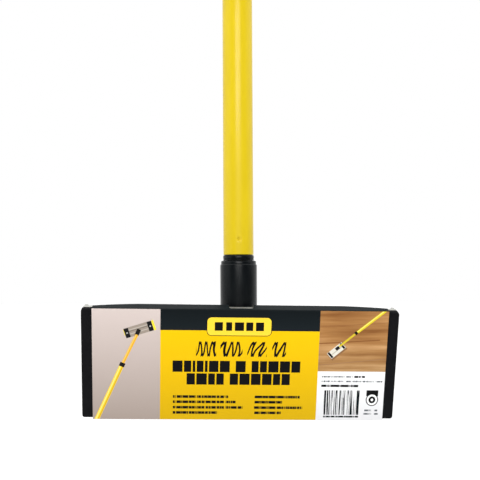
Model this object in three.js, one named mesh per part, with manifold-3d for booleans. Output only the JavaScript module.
// Pole drywall sander: a flat sanding head on a two-pin swivel, carried by a telescopic tube.
// Millimetres, +Z up. The tool hangs from the hole in its end cap, which is the origin.
// The pole runs straight down along -Z, and the head is folded close to it, pad towards -Y.

import * as THREE from 'three';
import { mergeVertices } from 'three/addons/utils/BufferGeometryUtils.js';
import Module from 'manifold-3d';

// ---------------------------------------------------------------- driving dimensions

const GAP = 0.3;                 // room left between pieces that touch or slide
const SEGMENTS = 32;             // facets round the large turned pieces
const FERRULE_SEGMENTS = 24;
const PIN_SEGMENTS = 16;         // facets round bolts, rivets and their holes

const HEAD_FOLD = 16 * Math.PI / 180;     // angle between the pole and the base plate
const HEAD_SWING = 1 * Math.PI / 180;     // the head hangs this much off square
const PIVOT_TO_HOLE = 900;       // from the pitch pin up to the hanging hole

// Sanding head, measured along X (length), Z (width) and Y (thickness)
const PLATE_LENGTH = 235;
const PLATE_WIDTH = 85;
const PLATE_THICKNESS = 4;
const PLATE_CORNER = 2;
const PLATE_INSET = 1;           // the pad reaches past each end of the plate
const PIVOT_HEIGHT = 17;         // pitch pin above the back of the plate
const PAD_THICKNESS = 5.5;
const RIB_HEIGHT = 1.2;
const RIB_WIDTH = 2;
const RIB_LENGTH = 168;
const RIB_ROWS = [24.5, 31, 37.5];
const END_RIB_HEIGHT = 3;
const END_RIB_WIDTH = 2.5;
const END_RIB_INSET = 1.8;

// Paper clamps at the two ends of the head
const CLAMP_X = 98;
const CLAMP_BAR_WIDTH = 20;
const CLAMP_BAR_LENGTH = 80;
const CLAMP_BAR_THICKNESS = 7;
const CLAMP_BAR_ROUND = 1.6;
const STUD_RADIUS = 3;
const STUD_HEIGHT = 25;          // above the back of the plate
const STUD_HEAD_RADIUS = 6;
const STUD_HEAD_THICKNESS = 2;
const WASHER_RADIUS = 7;
const WASHER_THICKNESS = 1.2;
const NUT_HUB_RADIUS = 5.6;
const NUT_HUB_HEIGHT = 7.5;
const NUT_WING_SPAN = 15;
const NUT_WING_HEIGHT = 13;
const NUT_WING_THICKNESS = 2.2;

// Two-pin swivel
const FOOT_LENGTH = 50;
const FOOT_WIDTH = 38;
const FOOT_THICKNESS = 3;
const FOOT_CORNER = 6;
const LUG_INNER = 9.8;
const LUG_THICKNESS = 4.5;
const LUG_RADIUS = 8;
const LUG_FOOT_HALF = 13;
const RIVET_RADIUS = 2;
const RIVET_X = 18.5;
const RIVET_Z = 13;
const RIVET_HEAD_RADIUS = 4;
const RIVET_HEAD_HEIGHT = 2.2;
const RIVET_TAIL_RADIUS = 3.2;
const RIVET_TAIL_THICKNESS = 1.1;
const BOLT_RADIUS = 3;
const BOLT_HEAD_RADIUS = 5.2;
const BOLT_HEAD_THICKNESS = 3;
const BOLT_NUT_RADIUS = 5.7;
const BOLT_NUT_THICKNESS = 4;
const BOLT_TIP = 1.5;            // thread standing out of the nut
const ROLL_PIN_Z = 22;           // roll pin above the pitch pin, along the pole
const TONGUE_HALF = 6;
const TONGUE_RADIUS = 9;
const BARREL_RADIUS = 8;

// Pole socket and threaded ferrule, heights above the pitch pin
const SOCKET_RADIUS = 14.3;
const SOCKET_RIM_RADIUS = 13.6;
const SOCKET_RIM_HEIGHT = 2.8;
const SOCKET_TOP = 71.1;
const SOCKET_SHOULDER = 34;      // the full round body starts here
const FORK_END_RADIUS = 10;
const FORK_FLAT = 12.6;          // outside faces of the two fork cheeks
const FORK_SLOT_TOP = 32.4;
const THREAD_RADIUS = 9.2;
const THREAD_ROOT = 8.4;
const THREAD_PITCH = 4;
const THREAD_TURNS = 5;
const SOCKET_BORE_BOTTOM = 43;
const FERRULE_RING_RADIUS = 12;
const FERRULE_RING_HEIGHT = 4.2;

// Telescopic tubes, heights above the pitch pin
const TUBE_END = SOCKET_TOP + GAP + FERRULE_RING_HEIGHT + GAP;
const INNER_TUBE_RADIUS = 11.7;
const INNER_TUBE_WALL = 1;
const INNER_TUBE_LENGTH = 520;
const OUTER_TUBE_RADIUS = 12.9;
const OUTER_TUBE_WALL = 0.9;
const OUTER_TUBE_LENGTH = 560;
const EXPOSED_INNER_TUBE = 240;  // bare inner tube between the ferrule ring and the collar
const DIMPLE_ABOVE_END = 11.7;
const DIMPLE_RADIUS = 2;
const DIMPLE_DEPTH = 0.55;
const PLUG_DEPTH = 26;

const COLLAR_RADIUS = 15.6;
const COLLAR_LENGTH = 38;
const COLLAR_FLUTES = 20;
const COLLAR_FLUTE_DEPTH = 0.7;
const COLLAR_LIP = 4;

const EXPANDER_LENGTH = 30;
const EXPANDER_SLOT = 2.4;
const SPINDLE_RADIUS = 4;
const SPINDLE_CONE_RADIUS = 7.6;
const CLIP_RADIUS = 7;
const CLIP_THICKNESS = 1.5;

const CAP_RADIUS = 14.6;
const CAP_SKIRT = 34;
const CAP_TONGUE_HALF = 5;
const CAP_HOLE_RADIUS = 4.5;
const CAP_END_ABOVE_HOLE = 11;

// Printed card sleeve wrapped round the head
const CARD = 0.6;
const SLEEVE_LENGTH = 219.6;
const SLEEVE_ROOM = 0.6;         // between the sleeve's side panels and the plate
const SLEEVE_BACK = 2.1;         // outside of the back flaps above the back of the plate
const SLEEVE_FLAP = 20.5;
const SLEEVE_CORNER = 0.9;
const SLEEVE_END_DEPTH = 7;      // depth of the long side panels at the sleeve's ends
const SLEEVE_TAPER = 55;         // length over which they reach full depth
const NOTCH_HALF = 9;
const NOTCH_DEPTH = 9.3;

// ---------------------------------------------------------------- derived positions

const BACK = -PIVOT_HEIGHT;
const PLATE_FRONT = BACK - PLATE_THICKNESS;
const PAD_BACK = PLATE_FRONT - GAP;
const PAD_FRONT = PAD_BACK - PAD_THICKNESS;
const SLEEVE_FRONT = PAD_FRONT - GAP - CARD;
const FOOT_BOTTOM = BACK + GAP;
const FOOT_TOP = FOOT_BOTTOM + FOOT_THICKNESS;
const CLAMP_BOTTOM = BACK + GAP;
const CLAMP_TOP = CLAMP_BOTTOM + CLAMP_BAR_THICKNESS;
const WASHER_BOTTOM = CLAMP_TOP + GAP;
const NUT_BOTTOM = WASHER_BOTTOM + WASHER_THICKNESS + GAP;
const INNER_TUBE_TOP = TUBE_END + INNER_TUBE_LENGTH;
const COLLAR_BOTTOM = TUBE_END + EXPOSED_INNER_TUBE;
const OUTER_TUBE_BOTTOM = COLLAR_BOTTOM + COLLAR_LIP + GAP;
const OUTER_TUBE_TOP = OUTER_TUBE_BOTTOM + OUTER_TUBE_LENGTH;
const CAP_SHOULDER = OUTER_TUBE_TOP + GAP;

// ---------------------------------------------------------------- materials

const finish = (color, roughness, metalness) =>
  new THREE.MeshStandardMaterial({ color, roughness, metalness });

const materials = {
  foam: finish('#1b1b1d', 0.95, 0),
  aluminium: finish('#cdcfc6', 0.45, 0.9),
  blackPlastic: finish('#1a1f22', 0.5, 0),
  zinc: finish('#b9bcbd', 0.35, 1),
  yellowPaint: finish('#f0d73d', 0.35, 0.1),
  greyPlastic: finish('#8b8f92', 0.55, 0),
  card: finish('#fdc900', 0.45, 0),
};

// ---------------------------------------------------------------- solids

const wasm = await Module();
wasm.setup();

// A closed three.js geometry as a solid: corners merged, slivers on the axis dropped.
function solid(geometry) {
  const bare = geometry.clone();
  bare.deleteAttribute('normal');
  bare.deleteAttribute('uv');
  const merged = mergeVertices(bare, 1e-4);
  const index = merged.index.array;
  const triangles = [];
  for (let i = 0; i < index.length; i += 3) {
    const [a, b, c] = [index[i], index[i + 1], index[i + 2]];
    if (a !== b && b !== c && c !== a) {
      triangles.push(a, b, c);
    }
  }
  const mesh = new wasm.Mesh({
    numProp: 3,
    vertProperties: new Float32Array(merged.attributes.position.array),
    triVerts: new Uint32Array(triangles),
  });
  return new wasm.Manifold(mesh);
}

function geometryOf(manifold) {
  const mesh = manifold.getMesh();
  const geometry = new THREE.BufferGeometry();
  geometry.setAttribute('position', new THREE.BufferAttribute(mesh.vertProperties, 3));
  geometry.setIndex(new THREE.BufferAttribute(mesh.triVerts, 1));
  geometry.computeVertexNormals();
  return geometry;
}

const join = (first, ...others) => others.reduce((sum, next) => sum.add(next), first);
const cut = (first, ...others) => others.reduce((rest, next) => rest.subtract(next), first);

function block(x0, x1, y0, y1, z0, z1) {
  const geometry = new THREE.BoxGeometry(x1 - x0, y1 - y0, z1 - z0);
  geometry.translate((x0 + x1) / 2, (y0 + y1) / 2, (z0 + z1) / 2);
  return solid(geometry);
}

// Turned solid round the Z axis. The outline lists [radius, height] from the bottom up.
function turned(outline, segments = SEGMENTS) {
  const points = outline.map(([radius, height]) => new THREE.Vector2(radius, height));
  const geometry = new THREE.LatheGeometry(points, segments);
  geometry.rotateX(Math.PI / 2);
  return solid(geometry);
}

function rod(radius, z0, z1, segments = SEGMENTS) {
  return turned([[0, z0], [radius, z0], [radius, z1], [0, z1]], segments);
}

function ring(outer, inner, z0, z1, segments = SEGMENTS) {
  return turned([[inner, z0], [outer, z0], [outer, z1], [inner, z1], [inner, z0]], segments);
}

// Turning a solid's Z axis onto X or Y
const alongX = (manifold) => manifold.rotate([0, 90, 0]);
const alongY = (manifold) => manifold.rotate([-90, 0, 0]);

// Prisms: an outline drawn in two axes and pushed along the third
function prism(shape, depth, bevel = 0) {
  return new THREE.ExtrudeGeometry(shape, {
    depth: depth - 2 * bevel,
    curveSegments: 6,
    bevelEnabled: bevel > 0,
    bevelSize: bevel,
    bevelThickness: bevel,
    bevelOffset: -bevel,
    bevelSegments: 2,
  }).translate(0, 0, bevel);
}

function prismZ(shape, z0, z1) {
  return solid(prism(shape, z1 - z0).translate(0, 0, z0));
}

function prismY(shape, y0, y1, bevel = 0) {
  const geometry = prism(shape, y1 - y0, bevel);
  geometry.rotateX(Math.PI / 2);
  return solid(geometry.translate(0, y1, 0));
}

function prismX(shape, x0, x1) {
  const geometry = prism(shape, x1 - x0);
  const turn = new THREE.Matrix4().makeBasis(
    new THREE.Vector3(0, 1, 0),
    new THREE.Vector3(0, 0, 1),
    new THREE.Vector3(1, 0, 0),
  );
  return solid(geometry.applyMatrix4(turn).translate(x0, 0, 0));
}

function roundedRectangle(width, height, radius) {
  const shape = new THREE.Shape();
  const [w, h] = [width / 2, height / 2];
  shape.moveTo(-w + radius, -h);
  shape.lineTo(w - radius, -h);
  shape.absarc(w - radius, -h + radius, radius, -Math.PI / 2, 0);
  shape.lineTo(w, h - radius);
  shape.absarc(w - radius, h - radius, radius, 0, Math.PI / 2);
  shape.lineTo(-w + radius, h);
  shape.absarc(-w + radius, h - radius, radius, Math.PI / 2, Math.PI);
  shape.lineTo(-w, -h + radius);
  shape.absarc(-w + radius, -h + radius, radius, Math.PI, Math.PI * 1.5);
  return shape;
}

function hexagon(radius) {
  const shape = new THREE.Shape();
  for (let corner = 0; corner < 6; corner += 1) {
    const angle = corner * Math.PI / 3;
    shape.lineTo(radius * Math.cos(angle), radius * Math.sin(angle));
  }
  return shape;
}

// ---------------------------------------------------------------- assembly

const sander = new THREE.Group();
const pole = new THREE.Group();      // heights above the pitch pin
const swing = new THREE.Group();     // turns about the roll pin
const cross = new THREE.Group();     // the swivel block, heights above the pitch pin
const head = new THREE.Group();      // turns about the pitch pin
pole.position.z = -PIVOT_TO_HOLE;
swing.position.z = ROLL_PIN_Z;
swing.rotation.y = HEAD_SWING;
cross.position.z = -ROLL_PIN_Z;
head.rotation.x = HEAD_FOLD;
cross.add(head);
swing.add(cross);
pole.add(swing);
sander.add(pole);

function add(parent, name, manifold, material) {
  const mesh = new THREE.Mesh(geometryOf(manifold), material);
  mesh.name = name;
  parent.add(mesh);
}

const SIDES = [['left', -1], ['right', 1]];

// ---------------------------------------------------------------- sanding head

// Foam backing pad glued to the front of the plate
function foamPad() {
  return prismY(roundedRectangle(PLATE_LENGTH, PLATE_WIDTH, PLATE_CORNER), PAD_FRONT, PAD_BACK);
}

// Cast aluminium plate, ribbed along its back, with a raised rib across each end
function basePlate() {
  const outline = roundedRectangle(PLATE_LENGTH - 2 * PLATE_INSET, PLATE_WIDTH, PLATE_CORNER);
  let plate = prismY(outline, PLATE_FRONT, BACK);
  for (const row of RIB_ROWS) {
    for (const side of [-1, 1]) {
      const z = side * row;
      const rib = block(
        -RIB_LENGTH / 2, RIB_LENGTH / 2,
        BACK - 1, BACK + RIB_HEIGHT,
        z - RIB_WIDTH / 2, z + RIB_WIDTH / 2,
      );
      plate = join(plate, rib);
    }
  }
  for (const side of [-1, 1]) {
    const centre = side * (PLATE_LENGTH / 2 - END_RIB_INSET - END_RIB_WIDTH / 2);
    const rib = block(
      centre - END_RIB_WIDTH / 2, centre + END_RIB_WIDTH / 2,
      BACK - 1, BACK + END_RIB_HEIGHT,
      -PLATE_WIDTH / 2, PLATE_WIDTH / 2,
    );
    const studHole = alongY(rod(STUD_RADIUS + GAP, PLATE_FRONT - 1, BACK + 1, PIN_SEGMENTS));
    const headDepth = PLATE_FRONT + STUD_HEAD_THICKNESS + GAP;
    const headRecess = alongY(rod(STUD_HEAD_RADIUS + GAP, PLATE_FRONT - 1, headDepth, PIN_SEGMENTS));
    const shift = [side * CLAMP_X, 0, 0];
    plate = cut(join(plate, rib), studHole.translate(shift), headRecess.translate(shift));
  }
  const tailDepth = PLATE_FRONT + RIVET_TAIL_THICKNESS + GAP;
  for (const [x, z] of rivetPlaces()) {
    const hole = alongY(rod(RIVET_RADIUS + GAP, PLATE_FRONT - 1, BACK + 1, PIN_SEGMENTS));
    const recess = alongY(rod(RIVET_TAIL_RADIUS + GAP, PLATE_FRONT - 1, tailDepth, PIN_SEGMENTS));
    plate = cut(plate, hole.translate([x, 0, z]), recess.translate([x, 0, z]));
  }
  return plate;
}

function rivetPlaces() {
  return [[-1, -1], [1, -1], [-1, 1], [1, 1]].map(([a, b]) => [a * RIVET_X, b * RIVET_Z]);
}

// Threaded stud whose flat head sits in the front of the plate, under the pad
function clampStud(side) {
  const headTop = PLATE_FRONT + STUD_HEAD_THICKNESS;
  const tip = BACK + STUD_HEIGHT;
  const stud = turned([
    [0, PLATE_FRONT],
    [STUD_HEAD_RADIUS, PLATE_FRONT],
    [STUD_HEAD_RADIUS, headTop],
    [STUD_RADIUS, headTop],
    [STUD_RADIUS, tip - 1],
    [STUD_RADIUS - 0.8, tip],
    [0, tip],
  ], PIN_SEGMENTS);
  return alongY(stud).translate([side * CLAMP_X, 0, 0]);
}

// Moulded bar that presses the turned-over end of the paper onto the plate
function clampBar(side) {
  const outline = roundedRectangle(CLAMP_BAR_WIDTH, CLAMP_BAR_LENGTH, CLAMP_BAR_WIDTH / 2 - 0.1);
  const bar = prismY(outline, CLAMP_BOTTOM, CLAMP_TOP, CLAMP_BAR_ROUND);
  const hole = alongY(rod(STUD_RADIUS + GAP, CLAMP_BOTTOM - 1, CLAMP_TOP + 1, PIN_SEGMENTS));
  return cut(bar, hole).translate([side * CLAMP_X, 0, 0]);
}

function clampWasher(side) {
  const top = WASHER_BOTTOM + WASHER_THICKNESS;
  const washer = ring(WASHER_RADIUS, STUD_RADIUS + GAP, WASHER_BOTTOM, top, PIN_SEGMENTS);
  return alongY(washer).translate([side * CLAMP_X, 0, 0]);
}

// Wing nut: a tapered hub with two rounded ears that lean outwards
function wingNut(side) {
  const top = NUT_BOTTOM + NUT_HUB_HEIGHT;
  const hub = alongY(turned([
    [0, NUT_BOTTOM],
    [NUT_HUB_RADIUS, NUT_BOTTOM],
    [NUT_HUB_RADIUS - 1, top],
    [0, top],
  ], PIN_SEGMENTS));
  let nut = hub;
  for (const ear of [-1, 1]) {
    const wing = new THREE.Shape();
    wing.moveTo(ear * 2, NUT_BOTTOM + 0.8);
    wing.lineTo(ear * NUT_HUB_RADIUS, NUT_BOTTOM + 0.8);
    wing.quadraticCurveTo(ear * 9, NUT_BOTTOM + 2, ear * NUT_WING_SPAN, NUT_BOTTOM + 6.5);
    wing.quadraticCurveTo(
      ear * (NUT_WING_SPAN + 1), NUT_BOTTOM + NUT_WING_HEIGHT,
      ear * 10.5, NUT_BOTTOM + NUT_WING_HEIGHT - 0.4,
    );
    wing.quadraticCurveTo(ear * 7, NUT_BOTTOM + 10, ear * 4.4, NUT_BOTTOM + 6.6);
    wing.lineTo(ear * 2, NUT_BOTTOM + 6.2);
    const plate = solid(prism(wing, NUT_WING_THICKNESS).translate(0, 0, -NUT_WING_THICKNESS / 2));
    nut = join(nut, plate);
  }
  const bore = alongY(rod(STUD_RADIUS + GAP, NUT_BOTTOM - 1, top + 8, PIN_SEGMENTS));
  return cut(nut, bore).translate([side * CLAMP_X, 0, 0]);
}

// ---------------------------------------------------------------- swivel

// Bracket riveted to the middle of the plate, with two lugs for the pitch pin
function swivelBase() {
  const foot = prismY(roundedRectangle(FOOT_LENGTH, FOOT_WIDTH, FOOT_CORNER), FOOT_BOTTOM, FOOT_TOP);
  const lean = Math.asin(LUG_RADIUS / Math.hypot(LUG_FOOT_HALF, FOOT_BOTTOM));
  const tangent = Math.atan2(-FOOT_BOTTOM, LUG_FOOT_HALF) + lean - Math.PI / 2;
  const lug = new THREE.Shape();
  lug.moveTo(FOOT_BOTTOM + 1, -LUG_FOOT_HALF);
  lug.absarc(0, 0, LUG_RADIUS, -Math.PI / 2 - tangent, Math.PI / 2 + tangent);
  lug.lineTo(FOOT_BOTTOM + 1, LUG_FOOT_HALF);
  let base = foot;
  for (const side of [-1, 1]) {
    const inner = side * LUG_INNER;
    const outer = side * (LUG_INNER + LUG_THICKNESS);
    base = join(base, prismX(lug, Math.min(inner, outer), Math.max(inner, outer)));
  }
  const pinHole = alongX(rod(BOLT_RADIUS + GAP, -LUG_INNER * 2, LUG_INNER * 2, PIN_SEGMENTS));
  base = cut(base, pinHole);
  for (const [x, z] of rivetPlaces()) {
    const hole = alongY(rod(RIVET_RADIUS + GAP, FOOT_BOTTOM - 1, FOOT_TOP + 1, PIN_SEGMENTS));
    base = cut(base, hole.translate([x, 0, z]));
  }
  return base;
}

// Rivet with a domed head on the bracket and a set tail in the front of the plate
function baseRivet(x, z) {
  const tailTop = PLATE_FRONT + RIVET_TAIL_THICKNESS;
  const headBottom = FOOT_TOP + GAP;
  const dome = [];
  for (let step = 0; step <= 3; step += 1) {
    const angle = step * Math.PI / 6;
    dome.push([
      RIVET_HEAD_RADIUS * Math.cos(angle),
      headBottom + 0.4 + (RIVET_HEAD_HEIGHT - 0.4) * Math.sin(angle),
    ]);
  }
  dome[dome.length - 1][0] = 0;
  const rivet = turned([
    [0, PLATE_FRONT],
    [RIVET_TAIL_RADIUS, PLATE_FRONT],
    [RIVET_TAIL_RADIUS, tailTop],
    [RIVET_RADIUS, tailTop],
    [RIVET_RADIUS, headBottom],
    [RIVET_HEAD_RADIUS, headBottom],
    ...dome,
  ], PIN_SEGMENTS);
  return alongY(rivet).translate([x, 0, z]);
}

// Bolt along Z from its button head, below -reach, to its tip beyond the nut
function pivotBolt(reach) {
  const headTop = -reach - GAP;
  const headBottom = headTop - BOLT_HEAD_THICKNESS;
  const tip = reach + GAP + BOLT_NUT_THICKNESS + BOLT_TIP;
  return turned([
    [0, headBottom],
    [BOLT_HEAD_RADIUS - 1.6, headBottom],
    [BOLT_HEAD_RADIUS - 0.4, headBottom + 0.9],
    [BOLT_HEAD_RADIUS, headTop],
    [BOLT_RADIUS, headTop],
    [BOLT_RADIUS, tip - 0.6],
    [BOLT_RADIUS - 0.6, tip],
    [0, tip],
  ], PIN_SEGMENTS);
}

function pivotNut(reach) {
  const bottom = reach + GAP;
  const nut = prismZ(hexagon(BOLT_NUT_RADIUS), bottom, bottom + BOLT_NUT_THICKNESS);
  return cut(nut, rod(BOLT_RADIUS + GAP, bottom - 1, bottom + BOLT_NUT_THICKNESS + 1, PIN_SEGMENTS));
}

// Cross block: a barrel on the pitch pin and, at right angles, a tongue on the roll pin
function swivelBlock() {
  const half = LUG_INNER - GAP;
  const barrel = alongX(rod(BARREL_RADIUS, -half, half, SEGMENTS));
  const tongueShape = new THREE.Shape();
  tongueShape.moveTo(-TONGUE_RADIUS, 0);
  tongueShape.lineTo(TONGUE_RADIUS, 0);
  tongueShape.lineTo(TONGUE_RADIUS, ROLL_PIN_Z);
  tongueShape.absarc(0, ROLL_PIN_Z, TONGUE_RADIUS, 0, Math.PI);
  const tongue = prismY(tongueShape, -TONGUE_HALF, TONGUE_HALF);
  const pitchHole = alongX(rod(BOLT_RADIUS + GAP, -20, 20, PIN_SEGMENTS));
  const rollHole = alongY(rod(BOLT_RADIUS + GAP, -20, 20, PIN_SEGMENTS));
  return cut(join(barrel, tongue), pitchHole, rollHole.translate([0, 0, ROLL_PIN_Z]));
}

// ---------------------------------------------------------------- pole socket and ferrule

// Moulded socket: a round body with an internal thread, ending in a fork for the roll pin
function poleSocket() {
  const rimBottom = SOCKET_TOP - SOCKET_RIM_HEIGHT;
  const body = turned([
    [0, 8],
    [SOCKET_RADIUS - 0.3, 8],
    [SOCKET_RADIUS - 0.3, SOCKET_SHOULDER],
    [SOCKET_RADIUS, rimBottom - 0.5],
    [SOCKET_RADIUS - 0.4, rimBottom],
    [SOCKET_RIM_RADIUS, rimBottom],
    [SOCKET_RIM_RADIUS, SOCKET_TOP - 0.5],
    [SOCKET_RIM_RADIUS - 0.5, SOCKET_TOP],
    [0, SOCKET_TOP],
  ]);
  const side = new THREE.Shape();
  side.absarc(0, ROLL_PIN_Z, FORK_END_RADIUS, Math.PI, Math.PI * 2);
  side.lineTo(SOCKET_RADIUS + 1, SOCKET_SHOULDER);
  side.lineTo(SOCKET_RADIUS + 1, SOCKET_TOP + 1);
  side.lineTo(-SOCKET_RADIUS - 1, SOCKET_TOP + 1);
  side.lineTo(-SOCKET_RADIUS - 1, SOCKET_SHOULDER);
  const envelope = prismY(side, -SOCKET_RADIUS - 2, SOCKET_RADIUS + 2);
  const slotHalf = TONGUE_HALF + GAP;
  const slot = block(-20, 20, -slotHalf, slotHalf, 0, FORK_SLOT_TOP);
  const wide = SOCKET_RADIUS + 5;
  const frontFlat = block(-20, 20, -wide, -FORK_FLAT, 0, SOCKET_SHOULDER);
  const rearFlat = block(-20, 20, FORK_FLAT, wide, 0, SOCKET_SHOULDER);
  const pinHole = alongY(rod(BOLT_RADIUS + GAP, -20, 20, PIN_SEGMENTS));
  const bore = rod(THREAD_RADIUS + GAP, SOCKET_BORE_BOTTOM, SOCKET_TOP + 1);
  return cut(
    body.intersect(envelope),
    slot, frontFlat, rearFlat, pinHole.translate([0, 0, ROLL_PIN_Z]), bore,
  );
}

// Threaded ferrule: thread down into the socket, ring between the two, plug up into the tube
function poleFerrule() {
  const ringBottom = SOCKET_TOP + GAP;
  const ringTop = ringBottom + FERRULE_RING_HEIGHT;
  const threadBottom = ringBottom - THREAD_PITCH * THREAD_TURNS - 4;
  const plugRadius = INNER_TUBE_RADIUS - INNER_TUBE_WALL - GAP;
  const outline = [[0, threadBottom], [THREAD_ROOT - 1, threadBottom], [THREAD_ROOT, threadBottom + 1]];
  for (let turn = 0; turn < THREAD_TURNS; turn += 1) {
    const start = threadBottom + 2 + turn * THREAD_PITCH;
    outline.push([THREAD_ROOT, start], [THREAD_RADIUS, start + 1.4], [THREAD_ROOT, start + 2.8]);
  }
  outline.push(
    [THREAD_ROOT, ringBottom],
    [FERRULE_RING_RADIUS, ringBottom],
    [FERRULE_RING_RADIUS, ringBottom + 1],
    [FERRULE_RING_RADIUS - 0.5, ringBottom + 1.3],
    [FERRULE_RING_RADIUS - 0.5, ringBottom + 1.7],
    [FERRULE_RING_RADIUS, ringBottom + 2],
    [FERRULE_RING_RADIUS, ringTop],
    [plugRadius, ringTop],
    [plugRadius, ringTop + PLUG_DEPTH - 1],
    [plugRadius - 1, ringTop + PLUG_DEPTH],
    [0, ringTop + PLUG_DEPTH],
  );
  return turned(outline, FERRULE_SEGMENTS);
}

// ---------------------------------------------------------------- telescopic tubes

// Inner tube, pressed into the ferrule by a small dimple at the front and the back
function innerTube() {
  const bore = INNER_TUBE_RADIUS - INNER_TUBE_WALL;
  let tube = ring(INNER_TUBE_RADIUS, bore, TUBE_END, INNER_TUBE_TOP);
  for (const side of [-1, 1]) {
    const dent = solid(new THREE.SphereGeometry(DIMPLE_RADIUS, 14, 10));
    const centre = INNER_TUBE_RADIUS + DIMPLE_RADIUS - DIMPLE_DEPTH;
    tube = cut(tube, dent.translate([0, side * centre, TUBE_END + DIMPLE_ABOVE_END]));
  }
  return tube;
}

// Collar pressed onto the lower end of the outer tube; its lip guides the inner tube
function tubeCollar() {
  const outline = new THREE.Shape();
  const step = Math.PI * 2 / COLLAR_FLUTES;
  const low = COLLAR_RADIUS - COLLAR_FLUTE_DEPTH;
  for (let flute = 0; flute < COLLAR_FLUTES; flute += 1) {
    const angle = flute * step;
    const corners = [[COLLAR_RADIUS, 0], [COLLAR_RADIUS, 0.5], [low, 0.62], [low, 0.88]];
    for (const [radius, part] of corners) {
      const turn = angle + part * step;
      outline.lineTo(radius * Math.cos(turn), radius * Math.sin(turn));
    }
  }
  const fluted = prismZ(outline, COLLAR_BOTTOM, COLLAR_BOTTOM + COLLAR_LENGTH);
  const limits = turned([
    [0, COLLAR_BOTTOM],
    [COLLAR_RADIUS - 1.5, COLLAR_BOTTOM],
    [COLLAR_RADIUS + 0.1, COLLAR_BOTTOM + 3],
    [COLLAR_RADIUS + 0.1, COLLAR_BOTTOM + COLLAR_LENGTH - 4],
    [OUTER_TUBE_RADIUS + 1, COLLAR_BOTTOM + COLLAR_LENGTH],
    [0, COLLAR_BOTTOM + COLLAR_LENGTH],
  ]);
  const guide = rod(INNER_TUBE_RADIUS + GAP, COLLAR_BOTTOM - 1, COLLAR_BOTTOM + COLLAR_LENGTH);
  const seat = rod(OUTER_TUBE_RADIUS + GAP, COLLAR_BOTTOM + COLLAR_LIP, COLLAR_BOTTOM + COLLAR_LENGTH + 1);
  return cut(fluted.intersect(limits), guide, seat);
}

function outerTube() {
  const bore = OUTER_TUBE_RADIUS - OUTER_TUBE_WALL;
  return ring(OUTER_TUBE_RADIUS, bore, OUTER_TUBE_BOTTOM, OUTER_TUBE_TOP);
}

// Spindle fixed in the top of the inner tube; its cone spreads the expander when twisted
function lockSpindle() {
  const plugRadius = INNER_TUBE_RADIUS - INNER_TUBE_WALL - GAP;
  const flange = INNER_TUBE_TOP + GAP;
  const tip = flange + 3 + EXPANDER_LENGTH + 6;
  return turned([
    [0, INNER_TUBE_TOP - PLUG_DEPTH],
    [plugRadius - 1, INNER_TUBE_TOP - PLUG_DEPTH],
    [plugRadius, INNER_TUBE_TOP - PLUG_DEPTH + 1],
    [plugRadius, flange],
    [INNER_TUBE_RADIUS, flange],
    [INNER_TUBE_RADIUS, flange + 2.5],
    [SPINDLE_CONE_RADIUS, flange + 2.5],
    [SPINDLE_RADIUS, flange + 2.5 + EXPANDER_LENGTH * 0.7],
    [SPINDLE_RADIUS, tip - 3],
    [SPINDLE_RADIUS - 1, tip - 3],
    [SPINDLE_RADIUS - 1, tip - 1],
    [SPINDLE_RADIUS, tip - 1],
    [SPINDLE_RADIUS - 0.5, tip],
    [0, tip],
  ], PIN_SEGMENTS);
}

// Split expander that grips the wall of the outer tube
function lockExpander() {
  const bottom = INNER_TUBE_TOP + GAP + 3;
  const top = bottom + EXPANDER_LENGTH;
  const radius = OUTER_TUBE_RADIUS - OUTER_TUBE_WALL - GAP;
  const body = turned([
    [0, bottom],
    [radius - 0.8, bottom],
    [radius, bottom + 1],
    [radius, top - 1],
    [radius - 0.8, top],
    [0, top],
  ]);
  const socket = turned([
    [0, bottom - 0.5],
    [SPINDLE_CONE_RADIUS + 0.5, bottom - 0.5],
    [SPINDLE_RADIUS + 0.5, bottom - 0.5 + EXPANDER_LENGTH * 0.7],
    [SPINDLE_RADIUS + 0.5, top + 1],
    [0, top + 1],
  ], PIN_SEGMENTS);
  const split = block(0, 20, -EXPANDER_SLOT / 2, EXPANDER_SLOT / 2, bottom - 1, top + 1);
  return cut(body, socket, split);
}

// Clip in the groove at the spindle's tip, which keeps the expander on
function retainerClip() {
  const bottom = INNER_TUBE_TOP + GAP + 3 + EXPANDER_LENGTH + 3 + GAP / 2;
  const top = bottom + CLIP_THICKNESS;
  const disc = ring(CLIP_RADIUS, SPINDLE_RADIUS - 1 + GAP, bottom, top, PIN_SEGMENTS);
  return cut(disc, block(0, 12, -2.6, 2.6, bottom - 1, top + 1));
}

// Cap over the top of the outer tube, flattened to a tongue with the hanging hole
function endCap() {
  const skirtBottom = OUTER_TUBE_TOP - CAP_SKIRT;
  const end = PIVOT_TO_HOLE + CAP_END_ABOVE_HOLE;
  const shell = turned([
    [0, skirtBottom],
    [CAP_RADIUS - 0.6, skirtBottom],
    [CAP_RADIUS, skirtBottom + 1],
    [CAP_RADIUS, CAP_SHOULDER + 2],
    [CAP_RADIUS - 1.6, CAP_SHOULDER + 5],
    [CAP_RADIUS - 2.6, end],
    [0, end],
  ]);
  const bore = rod(OUTER_TUBE_RADIUS + GAP, skirtBottom - 1, CAP_SHOULDER);
  const tongueBottom = CAP_SHOULDER + 3;
  const scallops = [-1, 1].map((side) => {
    const near = side * CAP_TONGUE_HALF;
    const far = side * (CAP_RADIUS + 2);
    const cutter = new THREE.Shape();
    cutter.moveTo(far, tongueBottom);
    cutter.quadraticCurveTo(near, tongueBottom + 1, near, tongueBottom + 7);
    cutter.lineTo(near, end + 1);
    cutter.lineTo(far, end + 1);
    return prismX(cutter, -CAP_RADIUS - 2, CAP_RADIUS + 2);
  });
  const hole = alongY(rod(CAP_HOLE_RADIUS, -20, 20, PIN_SEGMENTS)).translate([0, 0, PIVOT_TO_HOLE]);
  return cut(shell, bore, hole, ...scallops);
}

// ---------------------------------------------------------------- card sleeve

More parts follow.
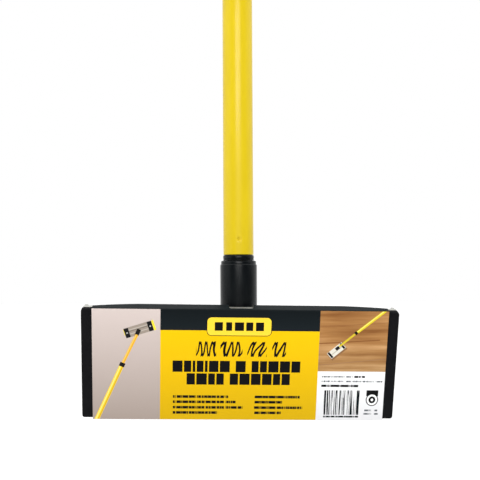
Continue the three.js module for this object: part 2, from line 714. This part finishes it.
// One folded strip of card: front panel, two long side panels and a back flap on each
function cardSleeve() {
  const innerTop = PLATE_WIDTH / 2 + SLEEVE_ROOM;
  const outerTop = innerTop + CARD;
  const flapOuter = BACK + SLEEVE_BACK;
  const flapEdge = outerTop - SLEEVE_FLAP;
  const fold = new THREE.Shape();
  const r = SLEEVE_CORNER;
  fold.moveTo(flapOuter, -flapEdge);
  fold.lineTo(flapOuter, -outerTop + r);
  fold.absarc(flapOuter - r, -outerTop + r, r, 0, -Math.PI / 2, true);
  fold.lineTo(SLEEVE_FRONT + r, -outerTop);
  fold.absarc(SLEEVE_FRONT + r, -outerTop + r, r, -Math.PI / 2, -Math.PI, true);
  fold.lineTo(SLEEVE_FRONT, outerTop - r);
  fold.absarc(SLEEVE_FRONT + r, outerTop - r, r, Math.PI, Math.PI / 2, true);
  fold.lineTo(flapOuter - r, outerTop);
  fold.absarc(flapOuter - r, outerTop - r, r, Math.PI / 2, 0, true);
  fold.lineTo(flapOuter, flapEdge);
  fold.lineTo(flapOuter - CARD, flapEdge);
  fold.lineTo(flapOuter - CARD, innerTop);
  fold.lineTo(SLEEVE_FRONT + CARD, innerTop);
  fold.lineTo(SLEEVE_FRONT + CARD, -innerTop);
  fold.lineTo(flapOuter - CARD, -innerTop);
  fold.lineTo(flapOuter - CARD, -flapEdge);
  let sleeve = prismX(fold, -SLEEVE_LENGTH / 2, SLEEVE_LENGTH / 2);

  // The side panels and flaps narrow towards the sleeve's ends
  const end = SLEEVE_LENGTH / 2;
  const endEdge = SLEEVE_FRONT + SLEEVE_END_DEPTH;
  for (const side of [-1, 1]) {
    const taper = new THREE.Shape();
    taper.moveTo(side * (end + 1), endEdge);
    taper.lineTo(side * end, endEdge);
    taper.quadraticCurveTo(
      side * (end - SLEEVE_TAPER * 0.45), flapOuter,
      side * (end - SLEEVE_TAPER), flapOuter + 0.5,
    );
    taper.lineTo(side * (end + 1), flapOuter + 0.5);
    sleeve = cut(sleeve, prismZ(taper, -outerTop - 1, outerTop + 1));
  }

  // Notch in the upper side panel and flap, where the socket passes
  const notch = new THREE.Shape();
  notch.moveTo(-NOTCH_HALF, flapOuter + 1);
  notch.lineTo(-NOTCH_HALF, flapOuter - NOTCH_DEPTH + 2);
  notch.quadraticCurveTo(-NOTCH_HALF, flapOuter - NOTCH_DEPTH, -NOTCH_HALF + 2, flapOuter - NOTCH_DEPTH);
  notch.lineTo(NOTCH_HALF - 2, flapOuter - NOTCH_DEPTH);
  notch.quadraticCurveTo(NOTCH_HALF, flapOuter - NOTCH_DEPTH, NOTCH_HALF, flapOuter - NOTCH_DEPTH + 2);
  notch.lineTo(NOTCH_HALF, flapOuter + 1);
  return cut(sleeve, prismZ(notch, 0, outerTop + 1));
}

// ---------------------------------------------------------------- pieces

add(head, 'foam_pad', foamPad(), materials.foam);
add(head, 'base_plate', basePlate(), materials.aluminium);
for (const [name, side] of SIDES) {
  add(head, `clamp_stud_${name}`, clampStud(side), materials.zinc);
  add(head, `clamp_bar_${name}`, clampBar(side), materials.blackPlastic);
  add(head, `clamp_washer_${name}`, clampWasher(side), materials.zinc);
  add(head, `wing_nut_${name}`, wingNut(side), materials.zinc);
}
add(head, 'swivel_base', swivelBase(), materials.blackPlastic);
rivetPlaces().forEach(([x, z], place) => {
  add(head, `base_rivet_${place + 1}`, baseRivet(x, z), materials.zinc);
});
const lugReach = LUG_INNER + LUG_THICKNESS;
add(head, 'pitch_bolt', alongX(pivotBolt(lugReach)), materials.zinc);
add(head, 'pitch_nut', alongX(pivotNut(lugReach)), materials.zinc);
add(head, 'card_sleeve', cardSleeve(), materials.card);

const rollPin = [0, 0, ROLL_PIN_Z];
add(cross, 'swivel_block', swivelBlock(), materials.blackPlastic);
add(pole, 'roll_bolt', alongY(pivotBolt(FORK_FLAT)).translate(rollPin), materials.zinc);
add(pole, 'roll_nut', alongY(pivotNut(FORK_FLAT)).translate(rollPin), materials.zinc);
add(pole, 'pole_socket', poleSocket(), materials.blackPlastic);
add(pole, 'pole_ferrule', poleFerrule(), materials.blackPlastic);
add(pole, 'inner_tube', innerTube(), materials.yellowPaint);
add(pole, 'lock_spindle', lockSpindle(), materials.greyPlastic);
add(pole, 'lock_expander', lockExpander(), materials.greyPlastic);
add(pole, 'retainer_clip', retainerClip(), materials.zinc);
add(pole, 'tube_collar', tubeCollar(), materials.blackPlastic);
add(pole, 'outer_tube', outerTube(), materials.yellowPaint);
add(pole, 'end_cap', endCap(), materials.blackPlastic);

export default sander;
